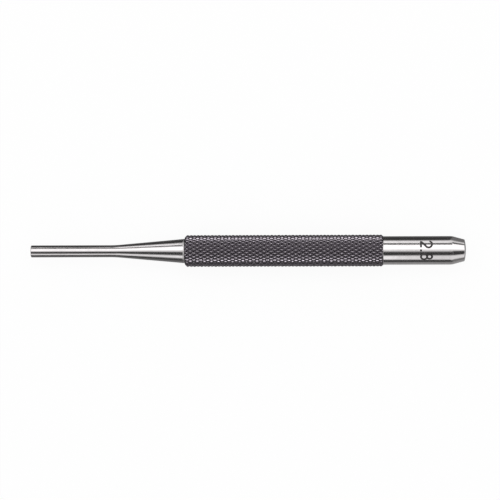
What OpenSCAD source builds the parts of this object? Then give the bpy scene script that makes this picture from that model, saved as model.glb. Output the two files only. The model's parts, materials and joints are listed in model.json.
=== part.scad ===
// Drive pin punch of hardened steel with a knurled grip, in millimetres.
// It lies along X: the middle of the tip face is the origin, and the head points to +X.

/* [Drive pin] */
// Diameter of the straight pin
pin_d = 2.8; // [1.6:0.02:4]
// Length of the pin, from the tip face to its corner with the taper
pin_len = 19.9; // [8:0.1:40]
// Bevel round the edge of the tip face
tip_bevel = 0.15; // [0.05:0.01:0.4]

/* [Taper] */
// Diameter of the taper where it meets the grip
taper_d = 5.7; // [4.4:0.1:9]
// Length of the taper
taper_len = 16.35; // [8:0.05:30]
// Radius that blends the pin into the taper
blend_r = 30; // [5:1:60]
// Radius in the corner between the taper and the end face of the grip
root_r = 0.25; // [0.1:0.01:0.6]

/* [Grip] */
// Length of the grip
grip_len = 46.2; // [20:0.1:80]
// Wall of the grip between its bore and the bottom of its grooves
grip_wall = 0.24; // [0.2:0.01:1]
// Width of the flat ring on the end face of the grip, next to the taper
end_ring_w = 0.1; // [0.02:0.01:0.18]

/* [Knurl] */
// Distance between neighbouring grooves, square to them
knurl_pitch = 0.825; // [0.7:0.005:1.6]
// Angle of the grooves to the axis, in degrees
knurl_angle = 30; // [25:1:40]
// Depth of the grooves
knurl_depth = 0.37; // [0.1:0.01:0.45]

/* [Head] */
// How far the surface of the head lies below the bottom of the grooves
head_drop = 0.03; // [0.02:0.01:0.18]
// Length of the straight part of the head
head_len = 15.9; // [6:0.05:30]
// Length of the crown, from the straight part to the rim of the striking face
crown_len = 2.95; // [1:0.05:6]
// Angle of the crown to the axis, in degrees
crown_angle = 15; // [5:1:25]
// Radius that blends the straight part into the crown
crown_blend_r = 4; // [0.5:0.5:7]
// Radius of the domed striking face
dome_r = 10; // [6:0.5:40]
// Rounding of the rim of the striking face
rim_r = 0.25; // [0.05:0.05:0.5]

/* [Hidden] */
$fn = 96;

// How far the bore is cut past each end face of the grip
overrun = 1;
// Steps in each rounded stretch of the bar's outline
arc_steps = 10;
// Share of a half tooth by which each row of teeth leads, as the two knurling rolls track unevenly
knurl_lead_share = 0.056;

// Places along the axis
grip_x = pin_len + taper_len;
head_x = grip_x + grip_len;
crown_x = head_x + head_len;
rim_x = crown_x + crown_len;

// The grip: a bore on the bar's core, a solid wall and the teeth of the knurl on top
core_d = taper_d + 2 * root_r;
valley_r = core_d / 2 + grip_wall;
crest_r = valley_r + knurl_depth;
end_bevel = grip_wall - end_ring_w;
tooth_start = end_bevel + knurl_depth;
tooth_run = grip_len - tooth_start - knurl_depth - head_drop;
row_turn = 1 + knurl_lead_share;
starts = round(PI * (valley_r + crest_r) * cos(knurl_angle) / knurl_pitch);
rows = round(2 * tooth_run * sin(knurl_angle) / knurl_pitch);
side_count = 2 * starts;

// The head: flush with the end of the grip, with a crown that leads to the domed striking face
head_r = valley_r - head_drop;
struck_r = head_r - crown_len * tan(crown_angle);
dome_x = rim_x - sqrt(dome_r * dome_r - struck_r * struck_r);
dome_angle = asin(struck_r / dome_r);

// Rounds one corner of an outline: an arc of radius r that touches both of the corner's sides
function rounded(before, corner, after, r) =
    let (
        u = (before - corner) / norm(before - corner),
        v = (after - corner) / norm(after - corner),
        half = acos(u * v) / 2,
        middle = corner + (u + v) / norm(u + v) * r / sin(half),
        start = corner + u * r / tan(half) - middle,
        turn = (u[0] * v[1] - u[1] * v[0] > 0 ? 2 : -2) * (half - 90)
    )
    [for (i = [0:arc_steps])
        let (a = turn * i / arc_steps)
        middle + [start[0] * cos(a) - start[1] * sin(a), start[0] * sin(a) + start[1] * cos(a)]];

// Points of the domed striking face, from just inside its rim to the axis
function dome() =
    [for (i = [1:arc_steps])
        let (a = dome_angle * (1 - i / arc_steps))
        [dome_r * sin(a), dome_x + dome_r * cos(a)]];

// Outline of the bar as radius and place along the axis, from the tip to the striking face
function bar_outline() =
    let (
        pin_start = [pin_d / 2, tip_bevel],
        pin_corner = [pin_d / 2, pin_len],
        taper_end = [taper_d / 2, grip_x],
        core_start = [core_d / 2, grip_x],
        head_start = [head_r, head_x],
        crown_start = [head_r, crown_x],
        rim = [struck_r, rim_x]
    )
    concat(
        [[0, 0], [pin_d / 2 - tip_bevel, 0], pin_start],
        rounded(pin_start, pin_corner, taper_end, blend_r),
        rounded(pin_corner, taper_end, core_start, root_r),
        [core_start, [core_d / 2, head_x], head_start],
        rounded(head_start, crown_start, rim, crown_blend_r),
        rounded(crown_start, rim, dome()[0], rim_r),
        dome()
    );

// Rings of the grip's skin as [place, radius at the crests, radius between them, half teeth turned].
// A plain bevel leads up to the bottom of the grooves, then come the rows of teeth, each half a tooth on.
function grip_rings() =
    let (
        end_r = valley_r - end_bevel,
        last_turn = rows * row_turn
    )
    concat(
        [[0, end_r, end_r, 0], [end_bevel, valley_r, valley_r, 0]],
        [for (k = [0:rows]) [tooth_start + tooth_run * k / rows, crest_r, valley_r, k * row_turn]],
        [[grip_len - head_drop, valley_r, valley_r, last_turn], [grip_len, head_r, head_r, last_turn]]
    );

// The two faces between places j and j + 1 of ring k and the next ring, folded along the groove.
// From one row of teeth to the next, a crest faces a groove, so the next ring's places are one back.
function ring_faces(k, j, between_rows) =
    let (
        at = function (ring, place) ring * side_count + (place + side_count) % side_count,
        back = between_rows ? 1 : 0,
        low = at(k, j),
        low_next = at(k, j + 1),
        high = at(k + 1, j - back),
        high_next = at(k + 1, j + 1 - back)
    )
    j % 2 == 0
        ? [[low, high, low_next], [high, high_next, low_next]]
        : [[low, high, high_next], [low, high_next, low_next]];

module along_x(x) {
    translate([x, 0, 0]) rotate([0, 90, 0]) children();
}

// The bright bar in one piece: drive pin, taper, core under the grip, head and crown
module punch_bar() {
    color("gainsboro") along_x(0) rotate_extrude() polygon(bar_outline());
}

// Diamond knurl with pointed teeth, bounded by right-hand and left-hand grooves that cross
module knurled_rod() {
    rings = grip_rings();
    last = len(rings) - 1;
    polyhedron(
        points = [for (ring = rings, j = [0:side_count - 1])
            let (r = ring[j % 2 + 1], a = (j + ring[3]) * 360 / side_count)
            [r * cos(a), r * sin(a), ring[0]]],
        faces = concat(
            [for (k = [0:last - 1], j = [0:side_count - 1])
                each ring_faces(k, j, k >= 2 && k < last - 2)],
            [[for (j = [0:side_count - 1]) j],
             [for (j = [side_count - 1:-1:0]) last * side_count + j]]
        )
    );
}

// The black knurled grip round the core of the bar, between the taper and the head
module knurled_grip() {
    color("dimgray") along_x(grip_x) difference() {
        knurled_rod();
        translate([0, 0, -overrun]) cylinder(d = core_d, h = grip_len + 2 * overrun);
    }
}

punch_bar();
knurled_grip();
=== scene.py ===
import json
import math

import bmesh
import bpy
from mathutils import Matrix, Vector


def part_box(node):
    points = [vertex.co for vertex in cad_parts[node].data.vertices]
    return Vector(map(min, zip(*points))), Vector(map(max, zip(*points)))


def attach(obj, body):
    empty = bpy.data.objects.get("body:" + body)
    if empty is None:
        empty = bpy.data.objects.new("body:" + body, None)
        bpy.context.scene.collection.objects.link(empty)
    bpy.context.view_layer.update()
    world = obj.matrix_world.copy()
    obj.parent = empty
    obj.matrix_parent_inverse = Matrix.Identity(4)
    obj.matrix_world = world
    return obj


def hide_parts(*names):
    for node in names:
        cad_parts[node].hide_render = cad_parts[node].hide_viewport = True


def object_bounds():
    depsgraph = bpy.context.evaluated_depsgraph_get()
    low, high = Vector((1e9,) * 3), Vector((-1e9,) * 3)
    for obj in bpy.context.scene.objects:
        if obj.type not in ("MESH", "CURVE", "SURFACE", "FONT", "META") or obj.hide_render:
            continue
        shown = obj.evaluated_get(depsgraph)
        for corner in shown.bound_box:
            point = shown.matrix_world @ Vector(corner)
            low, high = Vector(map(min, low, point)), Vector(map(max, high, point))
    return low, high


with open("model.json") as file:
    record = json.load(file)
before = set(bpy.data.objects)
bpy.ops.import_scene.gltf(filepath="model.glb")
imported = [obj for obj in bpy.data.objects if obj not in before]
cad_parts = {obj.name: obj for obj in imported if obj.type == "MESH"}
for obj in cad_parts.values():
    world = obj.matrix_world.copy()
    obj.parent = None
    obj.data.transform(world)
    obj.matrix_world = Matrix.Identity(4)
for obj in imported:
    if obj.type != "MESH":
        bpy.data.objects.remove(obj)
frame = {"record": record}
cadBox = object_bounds()
scene = bpy.context.scene
scene.view_settings.view_transform = "Standard"
mm = 0.001
samePoint = 0.0001 * mm     # points closer than this are one

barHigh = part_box("punch_bar")[1]
gripLow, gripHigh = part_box("knurled_grip")
mounts = {mount["name"]: mount for mount in frame["record"]["mounts"]}
pinRadius = mounts["drive_pin"]["dims"]["r_mm"] * mm
headRadius = mounts["head"]["dims"]["r_mm"] * mm
crestRadius = gripHigh.y
print("frame: bar", round(barHigh.x / mm, 2), "mm long, grip", round((gripHigh.x - gripLow.x) / mm, 2), "mm")


# camera: straight down on the punch, tip to the left
cameraLook = {
    "lens": 169.2,
    "sensor": 36.0,
    "distance": 548.4 * mm,
    "aimX": 51.43 * mm,     # the point of the axis in the middle of the picture
    "aimY": 0.20 * mm,
    "yaw": 3.5,             # the head is a little nearer than the tip
    "roll": 0.155,
}


def makeCamera(look):
    data = bpy.data.cameras.new("camera")
    data.lens = look["lens"]
    data.sensor_width = look["sensor"]
    camera = bpy.data.objects.new("camera", data)
    scene.collection.objects.link(camera)
    turn = Matrix.Rotation(math.radians(look["yaw"]), 4, "Y")
    roll = Matrix.Rotation(math.radians(-look["roll"]), 4, "Z")
    aim = Matrix.Translation((look["aimX"], look["aimY"], 0))
    camera.matrix_world = aim @ turn @ roll @ Matrix.Translation((0, 0, look["distance"]))
    scene.camera = camera


makeCamera(cameraLook)
print("camera: done")


# node helpers: an input is either a plain value or a socket to link
def setInputs(tree, node, inputs):
    for key, value in inputs.items():
        if isinstance(value, bpy.types.NodeSocket):
            tree.links.new(value, node.inputs[key])
        else:
            node.inputs[key].default_value = value


def addNode(tree, kind, inputs=None, **settings):
    node = tree.nodes.new(kind)
    for key, value in settings.items():
        setattr(node, key, value)
    setInputs(tree, node, inputs or {})
    return node


def mathNode(tree, operation, first, second=0.0, clamp=False):
    node = addNode(tree, "ShaderNodeMath", {0: first, 1: second}, operation=operation, use_clamp=clamp)
    return node.outputs[0]


def mixColour(tree, share, first, second, blend="MIX"):
    inputs = {0: share, 6: first, 7: second}      # factor and the two colours
    return addNode(tree, "ShaderNodeMix", inputs, data_type="RGBA", blend_type=blend).outputs[2]


def ramp(tree, value, reach, result=(0.0, 1.0)):
    inputs = {"Value": value, "From Min": reach[0], "From Max": reach[1],
              "To Min": result[0], "To Max": result[1]}
    return addNode(tree, "ShaderNodeMapRange", inputs).outputs["Result"]


def placeOnPiece(tree):
    return addNode(tree, "ShaderNodeTexCoord").outputs["Object"]


def noise(tree, place, scale, detail, roughness=0.5):
    inputs = {"Vector": place, "Scale": scale, "Detail": detail, "Roughness": roughness}
    return addNode(tree, "ShaderNodeTexNoise", inputs).outputs[0]


def ringNoise(tree, along, rings, detail):
    inputs = {"W": mathNode(tree, "MULTIPLY", along, rings), "Scale": 1.0, "Detail": detail}
    return addNode(tree, "ShaderNodeTexNoise", inputs, noise_dimensions="1D").outputs[0]


def bumpNormal(tree, height, bump, under=None):
    strength, distance = bump
    inputs = {"Strength": strength, "Distance": distance, "Height": height}
    if under is not None:
        inputs["Normal"] = under
    return addNode(tree, "ShaderNodeBump", inputs).outputs["Normal"]


def newGroup(name, inputs, outputs):
    group = bpy.data.node_groups.new(name, "ShaderNodeTree")
    for label, value in inputs.items():
        socket = group.interface.new_socket(label, in_out="INPUT", socket_type="NodeSocketFloat")
        socket.default_value = value
    for label in outputs:
        group.interface.new_socket(label, in_out="OUTPUT", socket_type="NodeSocketFloat")
    return group, group.nodes.new("NodeGroupInput"), group.nodes.new("NodeGroupOutput")


def useGroup(tree, group, values):
    return addNode(tree, "ShaderNodeGroup", values, node_tree=group)


def newMaterial(name):
    material = bpy.data.materials.new(name)
    material.use_nodes = True
    tree = material.node_tree
    return material, tree, tree.nodes["Principled BSDF"]


# effects that several materials share; scales are per metre
sharedEffects = {
    "ringDetail": 3.0,
    "wideRings": 900.0,           # slow change of sheen from ring to ring
    "wideDetail": 2.0,
    "patches": (420.0, 2.0),      # scale and detail of the patches where the rings fade
    "filmDetail": 4.0,
    "filmRoughness": 0.6,
}


# fine rings round the axis, as a grinding wheel or a lathe tool leaves them
def makeTurningMarks(look):
    group, given, out = newGroup("turningMarks", {"Rings": 9000.0, "Breakup": 0.5}, ("Height", "Sheen"))
    place = placeOnPiece(group)
    x, y, z = addNode(group, "ShaderNodeSeparateXYZ", {0: place}).outputs
    squares = mathNode(group, "ADD", mathNode(group, "MULTIPLY", y, y), mathNode(group, "MULTIPLY", z, z))
    along = mathNode(group, "ADD", x, mathNode(group, "SQRT", squares))      # end faces have rings too
    fine = ringNoise(group, along, given.outputs["Rings"], look["ringDetail"])
    wide = ringNoise(group, along, look["wideRings"], look["wideDetail"])
    patch = noise(group, place, *look["patches"])
    gate = mathNode(group, "SUBTRACT", 1.0, mathNode(group, "MULTIPLY", patch, given.outputs["Breakup"]))
    setInputs(group, out, {"Height": mathNode(group, "MULTIPLY", fine, gate),
                           "Sheen": mathNode(group, "MULTIPLY", wide, gate)})
    return group


# thin uneven film of oil and touch on the metal
def makeHandlingFilm(look):
    group, given, out = newGroup("handlingFilm", {"Size": 160.0, "Contrast": 1.0}, ("Film",))
    place = placeOnPiece(group)
    cloud = noise(group, place, given.outputs["Size"], look["filmDetail"], look["filmRoughness"])
    spread = mathNode(group, "MULTIPLY", mathNode(group, "SUBTRACT", cloud, 0.5), given.outputs["Contrast"])
    setInputs(group, out, {"Film": mathNode(group, "ADD", spread, 0.5, clamp=True)})
    return group


turningMarks = makeTurningMarks(sharedEffects)
handlingFilm = makeHandlingFilm(sharedEffects)
print("shared effects: done")


def finishPiece(name, shape):
    bmesh.ops.recalc_face_normals(shape, faces=shape.faces)
    mesh = bpy.data.meshes.new(name)
    shape.to_mesh(mesh)
    shape.free()
    piece = bpy.data.objects.new(name, mesh)
    scene.collection.objects.link(piece)
    return piece


# bright bar
brightBar = {
    "segments": 192,
    "arcSteps": 14,
    "tipSteps": 6,
    "rimSteps": 8,
    "sharpAngle": 28.0,
    "hold": 0.05 * mm,            # rings this close to the ends of a straight stretch keep its shading true
    "straightFrom": 0.50 * mm,    # shorter stretches have no such rings
    "tipEdge": 0.15 * mm,
    "pinLength": 19.9 * mm,
    "blendRadius": 30.0 * mm,
    "taperEndRadius": 2.85 * mm,
    "rootRadius": 0.25 * mm,      # radius in the corner before the grip
    "rootRise": 0.25 * mm,
    "coreInset": 0.50 * mm,       # rings of the hidden core, from the ends of the grip
    "headFlare": 0.14 * mm,       # radius in the corner behind the grip
    "crownStart": 98.35 * mm,
    "crownAngle": 15.0,
    "crownBlend": 4.0 * mm,
    "rimRadius": 0.25 * mm,
    "domeRadius": 10.0 * mm,
    "domeRise": 0.323 * mm,
    "toolShows": {"tip": 0.6, "pin": 0.2, "root": 0.3, "head": 0.2},      # lathe marks; 1 on the end faces
    "colour": (0.74, 0.715, 0.72, 1),
    "pinColour": (0.67, 0.645, 0.65, 1),      # the ground pin is greyer, and clears along the taper
    "pinFade": (19.0 * mm, 34.0 * mm),
    "marks": {"Rings": 14000.0, "Breakup": 0.7},
    "marksBump": (0.35, 0.004 * mm),          # strength and depth
    "groundShare": 0.25,                      # depth of the marks where the lathe tool does not show
    "film": {"Size": 210.0, "Contrast": 1.6},
    "filmTint": (0.78, 0.775, 0.77, 1),
    "filmShare": 0.6,
    "filmReach": (0.2, 0.9),
    "roughness": (0.10, 0.16),
    "marksRoughness": 0.05,
    "cornerDull": 0.40,           # added roughness before the grip, where the wheel does not reach
    "cornerReach": (0.10 * mm, 0.62 * mm),
    "waves": (330.0, 1.0),        # scale and detail of the polished surface's unevenness
    "wavesBump": (1.0, 0.015 * mm),
}


# points of an arc that touches both sides of a corner
def cornerArc(before, corner, after, radius, steps):
    before, corner, after = Vector(before), Vector(corner), Vector(after)
    back, ahead = (before - corner).normalized(), (after - corner).normalized()
    half = back.angle(ahead) / 2
    middle = corner + (back + ahead).normalized() * radius / math.sin(half)
    start = corner + back * radius / math.tan(half) - middle
    side = 1 if back.x * ahead.y - back.y * ahead.x > 0 else -1
    turn = 2 * side * (half - math.pi / 2)
    arc = []
    for step in range(steps + 1):
        angle = turn * step / steps
        arc.append((middle.x + start.x * math.cos(angle) - start.y * math.sin(angle),
                    middle.y + start.x * math.sin(angle) + start.y * math.cos(angle)))
    return arc


def holdStraights(outline, look):
    held = outline[:1]
    for (start, _), (end, share) in zip(outline, outline[1:]):
        run = Vector(end) - Vector(start)
        if run.length > look["straightFrom"]:
            near = run.normalized() * look["hold"]
            held.append(((start[0] + near.x, start[1] + near.y), share))
            held.append(((end[0] - near.x, end[1] - near.y), share))
        held.append((end, share))
    return held


# outline as place along the axis and radius, each with how strongly the lathe tool shows there
def barOutline(look):
    steps = look["arcSteps"]
    shows = look["toolShows"]
    rimX = barHigh.x - look["domeRise"]
    struckRadius = headRadius - (rimX - look["crownStart"]) * math.tan(math.radians(look["crownAngle"]))
    coreRadius = look["taperEndRadius"] + look["rootRise"]
    tipMiddle = (0, 0)
    tipCorner = (0, pinRadius)
    pinCorner = (look["pinLength"], pinRadius)
    taperEnd = (gripLow.x, look["taperEndRadius"])
    coreStart = (gripLow.x, coreRadius + look["rootRadius"])
    flareTop = (gripHigh.x, headRadius + look["headFlare"])
    headCorner = (gripHigh.x, headRadius)
    crownCorner = (look["crownStart"], headRadius)
    rim = (rimX, struckRadius)

    tip = cornerArc(tipMiddle, tipCorner, pinCorner, look["tipEdge"], look["tipSteps"])
    blend = cornerArc(tipCorner, pinCorner, taperEnd, look["blendRadius"], 2 * steps)
    root = cornerArc(pinCorner, taperEnd, coreStart, look["rootRadius"], 2 * steps)
    flare = cornerArc(flareTop, headCorner, crownCorner, look["headFlare"], steps)
    crown = cornerArc(headCorner, crownCorner, rim, look["crownBlend"], steps)
    domeRadius = look["domeRadius"]
    domeAngle = math.asin(struckRadius / domeRadius)
    dome = []
    for step in range(1, steps + 1):
        angle = domeAngle * (1 - step / steps)
        dome.append((barHigh.x - domeRadius * (1 - math.cos(angle)), domeRadius * math.sin(angle)))
    edge = cornerArc(crownCorner, rim, dome[0], look["rimRadius"], look["rimSteps"])

    outline = [(tipMiddle, 1), ((0, pinRadius / 2), 1)]
    outline += [(point, shows["tip"]) for point in tip]
    outline += [(point, shows["pin"]) for point in blend]
    outline += [(point, shows["root"]) for point in root if point[1] < coreRadius]
    for x in (gripLow.x + look["coreInset"], gripHigh.x - look["coreInset"], gripHigh.x):
        outline.append(((x, coreRadius), 0))
    outline += [(point, shows["head"]) for point in flare]
    outline += [(point, step / steps) for step, point in enumerate(crown)]
    outline += [(point, 1) for point in edge + dome]
    return holdStraights(outline, look)


def turnOnLathe(name, look):
    shape = bmesh.new()
    turned = shape.verts.layers.float.new("turned")
    segments = look["segments"]
    rings = []
    for (x, radius), share in barOutline(look):
        if radius < samePoint:
            ring = [shape.verts.new((x, 0, 0))]
        else:
            angles = [2 * math.pi * i / segments for i in range(segments)]
            ring = [shape.verts.new((x, radius * math.sin(a), radius * math.cos(a))) for a in angles]
        for vert in ring:
            vert[turned] = share
        rings.append(ring)
    for low, high in zip(rings, rings[1:]):
        for i in range(segments):
            j = (i + 1) % segments
            corners = [low[i % len(low)], low[j % len(low)], high[j % len(high)], high[i % len(high)]]
            shape.faces.new(list(dict.fromkeys(corners)))      # a triangle next to the axis
    piece = finishPiece(name, shape)
    piece.data.shade_smooth()
    piece.data.set_sharp_from_angle(angle=math.radians(look["sharpAngle"]))
    return piece


def makeBrightSteel(look):
    material, tree, shader = newMaterial("brightSteel")
    rings = useGroup(tree, turningMarks, look["marks"]).outputs
    film = useGroup(tree, handlingFilm, look["film"]).outputs["Film"]
    turned = addNode(tree, "ShaderNodeAttribute", attribute_name="turned").outputs["Fac"]
    place = placeOnPiece(tree)
    along = addNode(tree, "ShaderNodeSeparateXYZ", {0: place}).outputs[0]
    ground = mixColour(tree, ramp(tree, along, look["pinFade"]), look["pinColour"], look["colour"])
    streaks = mathNode(tree, "ADD", film, rings["Sheen"])
    streaks = mathNode(tree, "MULTIPLY", streaks, look["filmShare"], clamp=True)
    colour = mixColour(tree, streaks, ground, look["filmTint"], "MULTIPLY")
    gloss = ramp(tree, film, look["filmReach"], look["roughness"])
    gloss = mathNode(tree, "ADD", gloss, mathNode(tree, "MULTIPLY", rings["Sheen"], look["marksRoughness"]))
    away = mathNode(tree, "ABSOLUTE", mathNode(tree, "SUBTRACT", along, gripLow.x))
    gloss = mathNode(tree, "ADD", gloss, ramp(tree, away, look["cornerReach"], (look["cornerDull"], 0.0)))
    depth = ramp(tree, turned, (0.0, 1.0), (look["groundShare"], 1.0))
    depth = mathNode(tree, "MULTIPLY", rings["Height"], depth)
    uneven = bumpNormal(tree, noise(tree, place, *look["waves"]), look["wavesBump"])
    normal = bumpNormal(tree, depth, look["marksBump"], uneven)
    setInputs(tree, shader, {"Base Color": colour, "Metallic": 1.0, "Roughness": gloss, "Normal": normal})
    return material


bar = turnOnLathe("punch_bar_turned", brightBar)
bar.data.materials.append(makeBrightSteel(brightBar))
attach(bar, "root")
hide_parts("punch_bar")
print("bright bar:", len(bar.data.polygons), "faces")


# knurled grip
knurledGrip = {
    "starts": 23,                 # right-hand and left-hand grooves round the grip
    "rows": 55,                   # steps from the first row of teeth to the last
    "spareRows": 2,               # past each end, cut off there
    "firstRow": 0.60 * mm,
    "lastRow": 0.48 * mm,         # from the other end
    "lead": 0.056,                # share of a half tooth by which each row leads
    "depth": 0.46 * mm,
    "fineness": 8,                # faces along each side of a tooth
    "ridgePower": 2.5,            # 2 makes a tooth round, more makes it a pyramid with sharper ridges
    "tipRound": 0.80,             # 0 makes a tooth pointed, more makes it a dome
    "tipEnd": (3.22 * mm, 0.50 * mm),      # radius at the end face, and length of the bevel
    "headEnd": (3.36 * mm, 0.43 * mm),
    "boreRadius": 3.10 * mm,
    "cutSnap": 0.00001 * mm,
    "bevelWear": 0.3,             # taken off the height that wear goes by, on the bevels
    "colour": (0.128, 0.116, 0.130, 1),
    "worn": (0.17, 0.16, 0.167, 1),
    "wornHeight": (0.78, 1.0),    # shares of a tooth's height
    # grime and painted shade in the grooves: darkest at the groove bottoms, gone at the given share of a
    # tooth's height
    "grimeAndShade": (0.045, 0.041, 0.045, 1),
    "grimeAndShadeHeight": (0.0, 0.3),
    "chips": (1500.0, 3.0),       # scale and detail
    "chipReach": (0.42, 0.66),
    "chipBump": (0.3, 0.01 * mm),
    "film": {"Size": 520.0, "Contrast": 2.2},
    "filmReach": (0.1, 0.9),
    "roughness": (0.11, 0.21),
}


def gripPoint(x, angle, radius):
    return Vector((x, radius * math.sin(angle), -radius * math.cos(angle)))


def setRadius(vert, radius):
    scale = radius / math.hypot(vert.co.y, vert.co.z)
    vert.co.y *= scale
    vert.co.z *= scale


# the bevels let no tooth stand higher than this
def endLimit(look, x):
    limit = crestRadius
    for end, (radius, bevel) in ((gripLow.x, look["tipEnd"]), (gripHigh.x, look["headEnd"])):
        limit = min(limit, radius + (crestRadius - radius) * abs(x - end) / bevel)
    return limit


# share of the depth at a place on a tooth, which goes from -1 to 1 between its grooves both ways
def toothRise(look, u, v):
    power, tip = look["ridgePower"], look["tipRound"]
    away = ((abs(u) ** power + abs(v) ** power) / 2) ** (1 / power)
    return 1 - (math.hypot(away, tip) - tip) / (math.hypot(1, tip) - tip)


def rollTeeth(shape, look, toothHeight, inGroove):
    halfTooth = math.pi / look["starts"]
    rowStep = (gripHigh.x - gripLow.x - look["firstRow"] - look["lastRow"]) / look["rows"]
    fine = look["fineness"]
    steps = [2 * i / fine - 1 for i in range(fine + 1)]
    for row in range(-look["spareRows"], look["rows"] + look["spareRows"] + 1):
        middleX = gripLow.x + look["firstRow"] + row * rowStep
        for tooth in range(look["starts"]):
            middleAngle = (2 * tooth + row * (1 + look["lead"])) * halfTooth
            grid = []
            for u in steps:
                for v in steps:
                    rise = toothRise(look, u, v)
                    x = middleX + (u - v) / 2 * rowStep
                    angle = middleAngle + (u + v + look["lead"] * (u - v)) / 2 * halfTooth
                    vert = shape.verts.new(gripPoint(x, angle, crestRadius - look["depth"] * (1 - rise)))
                    vert[toothHeight] = rise
                    vert[inGroove] = abs(u) == 1 or abs(v) == 1
                    grid.append(vert)
            for i in range(fine):
                for j in range(fine):
                    k = i * (fine + 1) + j
                    shape.faces.new((grid[k], grid[k + 1], grid[k + fine + 2], grid[k + fine + 1]))
    bmesh.ops.remove_doubles(shape, verts=shape.verts, dist=samePoint)


# cuts the teeth off at both ends, bevels them and makes the end faces and the bore between them
def faceEnds(shape, look, toothHeight):
    for end, side in ((gripLow.x, -1), (gripHigh.x, 1)):
        everything = shape.verts[:] + shape.edges[:] + shape.faces[:]
        bmesh.ops.bisect_plane(shape, geom=everything, dist=look["cutSnap"], plane_co=(end, 0, 0),
                               plane_no=(side, 0, 0), clear_outer=True)
    for vert in shape.verts:
        limit = endLimit(look, vert.co.x)
        if math.hypot(vert.co.y, vert.co.z) > limit:
            vert[toothHeight] = max(0.0, vert[toothHeight] - look["bevelWear"])
            setRadius(vert, limit)
    rims = [edge for edge in shape.edges if edge.is_boundary]
    for edge in rims:
        edge.smooth = False
    made = bmesh.ops.extrude_edge_only(shape, edges=rims)["geom"]
    for vert in made:
        if isinstance(vert, bmesh.types.BMVert):
            setRadius(vert, look["boreRadius"])
    boreRims = [edge for edge in shape.edges if edge.is_boundary]
    for edge in boreRims:
        edge.smooth = False
    bmesh.ops.bridge_loops(shape, edges=boreRims)


def rollKnurl(name, look):
    shape = bmesh.new()
    toothHeight = shape.verts.layers.float.new("toothHeight")
    inGroove = shape.verts.layers.int.new("inGroove")
    rollTeeth(shape, look, toothHeight, inGroove)
    for edge in shape.edges:
        edge.smooth = not all(vert[inGroove] for vert in edge.verts)
    faceEnds(shape, look, toothHeight)
    for face in shape.faces:
        face.smooth = True
    return finishPiece(name, shape)


def makeBlackOxide(look):
    material, tree, shader = newMaterial("blackOxide")
    film = useGroup(tree, handlingFilm, look["film"]).outputs["Film"]
    height = addNode(tree, "ShaderNodeAttribute", attribute_name="toothHeight").outputs["Fac"]
    chips = noise(tree, placeOnPiece(tree), *look["chips"])
    wear = ramp(tree, height, look["wornHeight"])
    wear = mathNode(tree, "MULTIPLY", wear, ramp(tree, chips, look["chipReach"]))
    # grime and painted shade: darker towards the bottom of each groove
    colour = mixColour(tree, ramp(tree, height, look["grimeAndShadeHeight"]), look["grimeAndShade"], look["colour"])
    colour = mixColour(tree, wear, colour, look["worn"])
    gloss = ramp(tree, film, look["filmReach"], look["roughness"])
    normal = bumpNormal(tree, chips, look["chipBump"])
    setInputs(tree, shader, {"Base Color": colour, "Metallic": 1.0, "Roughness": gloss, "Normal": normal})
    return material


grip = rollKnurl("knurled_grip_rolled", knurledGrip)
grip.data.materials.append(makeBlackOxide(knurledGrip))
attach(grip, "root")
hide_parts("knurled_grip")
print("knurled grip:", len(grip.data.polygons), "faces")


# size number etched round the head
sizeMark = {
    "text": "2.8",                # the pin's diameter in millimetres
    "place": 91.2 * mm,           # feet of the digits, along the axis
    "height": 2.55 * mm,
    "width": 1.60 * mm,
    "stroke": 0.46 * mm,
    "gap": 0.46 * mm,
    "proud": 0.004 * mm,
    "deep": 0.05 * mm,
    "step": 0.10 * mm,
    "lanes": 3,                   # faces across a stroke, so that it follows the round head
    "arcSteps": 40,
    "sharpest": 0.45,             # keeps the strokes' corners from running far out
    "twoBow": (165, -38),         # the bow of the 2 from end to end, in degrees
    "twoFoot": 0.04,              # where its foot starts, as a share of the width
    "eightBowls": (0.275, 0.225),      # radii, as shares of the height
    "eightGap": (-60, 240),       # the upper bowl is open where the two meet
    "colour": (0.026, 0.023, 0.023, 1),
    "edgeColour": (0.060, 0.054, 0.054, 1),
    "metallic": 0.3,
    "film": {"Size": 900.0, "Contrast": 2.4},
    "filmReach": (0.1, 0.9),
    "roughness": (0.45, 0.65),
    "marks": {"Rings": 14000.0, "Breakup": 0.7},
    "marksBump": (0.4, 0.006 * mm),
}


def arcPath(middle, radius, ends, steps):
    start, end = (math.radians(angle) for angle in ends)
    angles = [start + (end - start) * i / steps for i in range(steps + 1)]
    return [(middle[0] + radius * math.cos(a), middle[1] + radius * math.sin(a)) for a in angles]


# strokes of each digit as paths, across and up
def digitStrokes(digit, look):
    w, h, steps = look["width"], look["height"], look["arcSteps"]
    if digit == "2":
        bow = arcPath((w / 2, h - w / 2), w / 2, look["twoBow"], steps)
        return [bow + [(look["twoFoot"] * w, 0), (w, 0)]]
    if digit == "8":
        low, high = (share * h for share in look["eightBowls"])
        return [arcPath((w / 2, low), low, (-90, 270), steps),
                arcPath((w / 2, 2 * low + high), high, look["eightGap"], steps)]
    return [[(0, 0), (look["stroke"], 0)]]


def evenSteps(path, step):
    fine = [Vector(path[0])]
    for a, b in zip(path, path[1:]):
        a, b = Vector(a), Vector(b)
        count = max(1, math.ceil((b - a).length / step))
        fine += [a.lerp(b, i / count) for i in range(1, count + 1)]
    return fine


def strokeSides(path, look):
    closed = (path[0] - path[-1]).length < samePoint
    if closed:
        path = path[:-1]
    sides = []
    for i, point in enumerate(path):
        before = path[i - 1] if closed or i else point
        after = path[(i + 1) % len(path)] if closed or i < len(path) - 1 else point
        ahead = (after - point).normalized() if after != point else (point - before).normalized()
        behind = (point - before).normalized() if before != point else ahead
        lean = (ahead + behind).normalized()
        reach = look["stroke"] / 2 / max(look["sharpest"], lean.dot(ahead))
        across = Vector((-lean.y, lean.x)) * reach
        sides.append((point + across, point - across))
    return sides, closed


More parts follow.
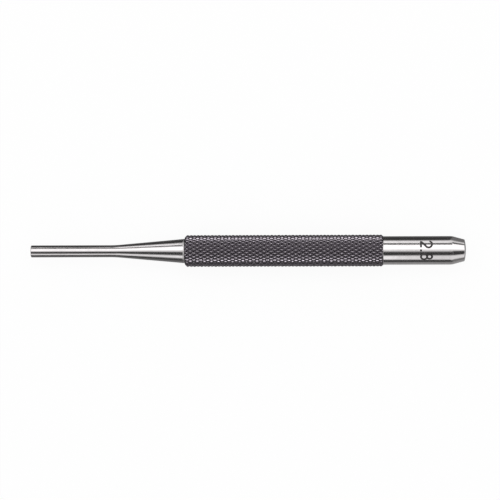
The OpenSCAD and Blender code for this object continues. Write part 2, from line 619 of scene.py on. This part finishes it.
def onHead(look, across, point, lift):
    turn = (across + point.x) / headRadius
    radius = headRadius + lift
    return (look["place"] + point.y, -radius * math.sin(turn), radius * math.cos(turn))


def etchStroke(shape, look, across, path):
    sides, closed = strokeSides(evenSteps(path, look["step"]), look)
    rings = []
    for left, right in sides:
        top = [left.lerp(right, i / look["lanes"]) for i in range(look["lanes"] + 1)]
        ring = [onHead(look, across, point, look["proud"]) for point in top]
        ring += [onHead(look, across, point, -look["deep"]) for point in (right, left)]
        rings.append([shape.verts.new(place) for place in ring])
    pairs = list(zip(rings, rings[1:]))
    if closed:
        pairs.append((rings[-1], rings[0]))
    for low, high in pairs:
        for i in range(len(low)):
            j = (i + 1) % len(low)
            shape.faces.new((low[i], low[j], high[j], high[i]))
    if not closed:
        shape.faces.new(rings[0])
        shape.faces.new(rings[-1][::-1])


def etchMark(name, look):
    shape = bmesh.new()
    widths = [look["stroke"] if letter == "." else look["width"] for letter in look["text"]]
    across = -(sum(widths) + look["gap"] * (len(widths) - 1)) / 2
    for letter, width in zip(look["text"], widths):
        for path in digitStrokes(letter, look):
            etchStroke(shape, look, across, path)
        across += width + look["gap"]
    return finishPiece(name, shape)


def makeEtchedMark(look):
    material, tree, shader = newMaterial("etchedMark")
    film = useGroup(tree, handlingFilm, look["film"]).outputs["Film"]
    grain = useGroup(tree, turningMarks, look["marks"]).outputs["Height"]
    colour = mixColour(tree, film, look["colour"], look["edgeColour"])
    gloss = ramp(tree, film, look["filmReach"], look["roughness"])
    normal = bumpNormal(tree, grain, look["marksBump"])
    setInputs(tree, shader, {"Base Color": colour, "Metallic": look["metallic"], "Roughness": gloss,
                             "Normal": normal})
    return material


number = etchMark("size_number", sizeMark)
number.data.materials.append(makeEtchedMark(sizeMark))
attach(number, "root")
print("size number:", len(number.data.polygons), "faces")


# floor, world and studio light
studio = {
    "floorSize": 3.0,
    "floorColour": (0.9, 0.9, 0.9, 1),
    "floorWhite": 0.90,           # share of the floor that shows as plain white
    "floorGlow": 1.02,
    "ambient": 0.75,              # light of the world on matte surfaces
}

# lamps: angle from straight above towards the back in degrees, distance and size in metres, light per area;
# the strip only lights the teeth of the grip
lamps = {
    "softbox": {"back": 29.5, "distance": 0.50, "size": (0.70, 0.165), "light": 0.9},
    "topStrip": {"back": 15.5, "distance": 0.38, "size": (0.60, 0.07), "light": 10.0, "only": grip},
}

# glowing cards round the set that only reflections see, no lamps: painted light and dark bands for the metal
# to reflect; span is their reach along the punch in mm
# those at a distance bend round the punch: angle from straight above towards the front, and brightness
overhead = ((-24, 1.7), (-14, 1.7), (-6, 1.15), (2, 0.93), (8, 0.50), (13, 0.17), (17, 0.05))
overTaper = ((-24, 1.7), (-14, 1.6), (-6, 1.1), (2, 0.88), (8, 0.45), (13, 0.14), (17, 0.05))
overRight = ((-24, 1.7), (-14, 1.7), (-6, 1.15), (0, 0.93), (5, 0.50), (9, 0.15), (12, 0.05))
bentCards = {
    "cameraSide": {"span": (-29, 280), "distance": 0.42,
                   "sweep": overhead + ((35.5, 0.05), (41.5, 0.45), (47.5, 1.0))},
    "cameraPin": {"span": (-71, -29), "distance": 0.42,
                  "sweep": overhead + ((41, 0.05), (47, 0.45), (53, 1.0))},
    "cameraTaper": {"span": (-300, -83), "distance": 0.42,
                    "sweep": overTaper + ((37.5, 0.05), (44, 0.45), (50, 1.0))},
    "cameraRoot": {"span": (-83, -71), "distance": 0.42,
                   "sweep": overTaper + ((35, 0.05), (41, 0.45), (47, 1.0))},
    "cameraLeft": {"span": (-1000, -300), "distance": 0.42,
                   "sweep": ((5, 0.9), (11, 0.35), (34, 0.35), (42, 1.0))},
    "cameraRight": {"span": (280, 1100), "distance": 0.42,
                    "sweep": overRight + ((39, 0.05), (45, 0.5), (51, 1.0))},
    "pinFront": {"span": (-300, -29), "distance": 0.43, "sweep": ((51, 1.12), (71, 1.12))},
    "headFront": {"span": (45, 86), "distance": 0.43, "sweep": ((47.5, 1.40), (80, 1.40))},
    "headFrontEnd": {"span": (86, 140), "distance": 0.43, "sweep": ((47.5, 0.92), (80, 0.92))},
    "headBack": {"span": (45, 90), "distance": 0.49, "sweep": ((-62.2, 1.45), (-79, 1.45))},
    "headBackEnd": {"span": (90, 140), "distance": 0.49, "sweep": ((-62.2, 1.1), (-79, 1.1))},
    "softboxRim": {"span": (-37, 230), "distance": 0.49,
                   "sweep": ((-39.2, 1.5), (-46.5, 1.5), (-47.5, 0.10), (-61.2, 0.10))},
    "softboxRimPin": {"span": (-74, -37), "distance": 0.49,
                      "sweep": ((-39.2, 1.3), (-51.5, 1.3), (-52.5, 0.10), (-61.2, 0.10), (-63, 0.25),
                                (-86, 0.22))},
    "softboxRimTaper": {"span": (-300, -74), "distance": 0.49,
                        "sweep": ((-39.2, 1.28), (-47, 1.05), (-51, 0.12), (-61.2, 0.12), (-62.2, 1.4),
                                  (-79, 1.4))},
    "softboxRimLeft": {"span": (-1100, -300), "distance": 0.49,
                       "sweep": ((-39.2, 1.0), (-47, 1.0), (-51, 0.35), (-61.2, 0.35), (-62.2, 1.0),
                                 (-79, 1.0))},
    "softboxRimRight": {"span": (230, 1200), "distance": 0.49,
                        "sweep": ((-39.2, 1.6), (-56.5, 1.6), (-58.5, 0.10), (-74, 0.10))},
}

# those low on the floor: place across the punch and height above the floor in mm, and brightness; next to
# the punch they are dim, a painted shadow of the punch on the floor that only reflections see
# darkFront, paleFront and darkBack: painted shadow of the punch on the floor in front of it and behind it
darkFront = ((-18, 0.3, 0.10), (-11, 0.2, 0.18), (-4.2, 0.1, 0.22), (-1.2, 0.1, 0.22))
paleFront = ((-18, 0.3, 0.20), (-11, 0.2, 0.36), (-4.2, 0.1, 0.40), (-1.2, 0.1, 0.36))
darkBack = ((38, 3.6, 0.10), (22, 1.3, 0.04), (10, 0.4, 0.06), (4.2, 0.1, 0.16), (1.2, 0.1, 0.16))
lowCards = {
    "front": {"span": (36, 104),
              "places": ((-70, 24.0, 1.0), (-60, 15.0, 0.45), (-52, 10.0, 0.06),
                         (-24, 0.6, 0.05)) + paleFront},
    "frontLeft": {"span": (-400, 9),
                  "places": ((-70, 27.0, 1.0), (-60, 18.0, 0.45), (-52, 12.5, 0.06),
                             (-24, 0.6, 0.04)) + darkFront},
    "frontTaper": {"span": (9, 36),
                   "places": ((-70, 34.0, 1.0), (-60, 21.0, 0.50), (-52, 13.0, 0.12),
                              (-24, 0.6, 0.05)) + darkFront},
    "frontRight": {"span": (104, 500),
                   "places": ((-70, 19.0, 1.0), (-60, 11.0, 0.55), (-52, 7.0, 0.22), (-24, 0.6, 0.20),
                              (-11, 0.2, 0.36), (-1.2, 0.1, 0.40))},
    "back": {"span": (8, 99.5), "places": ((70, 14.0, 1.0), (52, 9.5, 0.55)) + darkBack},
    "backPin": {"span": (-400, 8), "places": ((70, 14.0, 0.25), (52, 9.5, 0.16)) + darkBack},
    "beyondTip": {"span": (-400, -0.3), "places": ((-1.2, 0.1, 0.22), (1.2, 0.1, 0.16))},
    "beyondHead": {"span": (102, 500), "places": ((-1.2, 0.1, 0.40), (1.2, 0.1, 0.20))},
    "backRight": {"span": (99.5, 500),
                  "places": ((70, 10.0, 1.0), (52, 6.0, 0.55), (38, 0.9, 0.22), (1.2, 0.1, 0.20))},
}


def seenPlainly(tree):
    path = addNode(tree, "ShaderNodeLightPath")
    seen = mathNode(tree, "MAXIMUM", path.outputs["Is Camera Ray"], path.outputs["Is Glossy Ray"])
    return mathNode(tree, "MAXIMUM", seen, path.outputs["Is Transmission Ray"])


def stageMaterial(name):
    material = bpy.data.materials.new(name)
    material.use_nodes = True
    material.node_tree.nodes.clear()
    material.cycles.emission_sampling = "NONE"
    return material, material.node_tree


def makeFloor(look):
    half = look["floorSize"] / 2
    mesh = bpy.data.meshes.new("floor")
    corners = [(-half, -half, 0), (half, -half, 0), (half, half, 0), (-half, half, 0)]
    mesh.from_pydata(corners, [], [(0, 1, 2, 3)])
    material, tree = stageMaterial("paleFloor")
    matte = addNode(tree, "ShaderNodeBsdfDiffuse", {"Color": look["floorColour"]}).outputs[0]
    white = addNode(tree, "ShaderNodeEmission", {"Strength": look["floorGlow"]}).outputs[0]
    share = mathNode(tree, "MULTIPLY", seenPlainly(tree), look["floorWhite"])
    mixed = addNode(tree, "ShaderNodeMixShader", {0: share, 1: matte, 2: white}).outputs[0]
    addNode(tree, "ShaderNodeOutputMaterial", {"Surface": mixed})
    mesh.materials.append(material)
    floor = bpy.data.objects.new("floor", mesh)
    floor.location = (cameraLook["aimX"], 0, cadBox[0].z)
    scene.collection.objects.link(floor)


# plain white world, a little darker for matte surfaces
def makeWorld(look):
    world = bpy.data.worlds.new("studioWorld")
    scene.world = world
    world.cycles.sampling_method = "NONE"
    world.use_nodes = True
    tree = world.node_tree
    tree.nodes.clear()
    level = ramp(tree, seenPlainly(tree), (0.0, 1.0), (look["ambient"], 1.0))
    glow = addNode(tree, "ShaderNodeBackground", {"Color": (1, 1, 1, 1), "Strength": level}).outputs[0]
    addNode(tree, "ShaderNodeOutputWorld", {"Surface": glow})


def makeLamp(name, look):
    data = bpy.data.lights.new(name, "AREA")
    data.shape = "RECTANGLE"
    data.size, data.size_y = look["size"]
    data.energy = look["light"] * math.pi * data.size * data.size_y
    lamp = bpy.data.objects.new(name, data)
    scene.collection.objects.link(lamp)
    middle = Matrix.Translation((cameraLook["aimX"], 0, 0))
    tilt = Matrix.Rotation(math.radians(-look["back"]), 4, "X")
    lamp.matrix_world = middle @ tilt @ Matrix.Translation((0, 0, look["distance"]))
    if "only" in look:
        reach = bpy.data.collections.new(name + "Reach")
        reach.objects.link(look["only"])
        lamp.light_linking.receiver_collection = reach


# points across the punch, up and how bright, in the order of the card's faces
def bentLine(look):
    line = []
    for angle, grey in look["sweep"]:
        lean = math.radians(angle)
        line.append((-look["distance"] * math.sin(lean), look["distance"] * math.cos(lean), grey))
    return line


def lowLine(look):
    return [(y * mm, cadBox[0].z + height * mm, grey) for y, height, grey in look["places"]]


def makeCard(name, line, span):
    mesh = bpy.data.meshes.new(name)
    corners = [(x * mm, y, z) for y, z, grey in line for x in span]
    mesh.from_pydata(corners, [], [(2 * i, 2 * i + 1, 2 * i + 3, 2 * i + 2) for i in range(len(line) - 1)])
    shade = mesh.attributes.new("grey", "FLOAT", "POINT")
    for i in range(len(corners)):
        shade.data[i].value = line[i // 2][2]
    material, tree = stageMaterial(name)
    level = addNode(tree, "ShaderNodeAttribute", attribute_name="grey").outputs["Fac"]
    glow = addNode(tree, "ShaderNodeEmission", {"Strength": level}).outputs[0]
    addNode(tree, "ShaderNodeOutputMaterial", {"Surface": glow})
    mesh.materials.append(material)
    sheet = bpy.data.objects.new(name, mesh)
    scene.collection.objects.link(sheet)
    sheet.visible_camera = False
    sheet.visible_diffuse = False
    sheet.visible_shadow = False
    sheet.visible_transmission = False


makeFloor(studio)
makeWorld(studio)
for lampName, lampLook in lamps.items():
    makeLamp(lampName, lampLook)
for cardName, cardLook in bentCards.items():
    makeCard("card_" + cardName, bentLine(cardLook), cardLook["span"])
for cardName, cardLook in lowCards.items():
    makeCard("card_" + cardName, lowLine(cardLook), cardLook["span"])
print("studio:", len(lamps), "lamps,", len(bentCards) + len(lowCards), "cards")
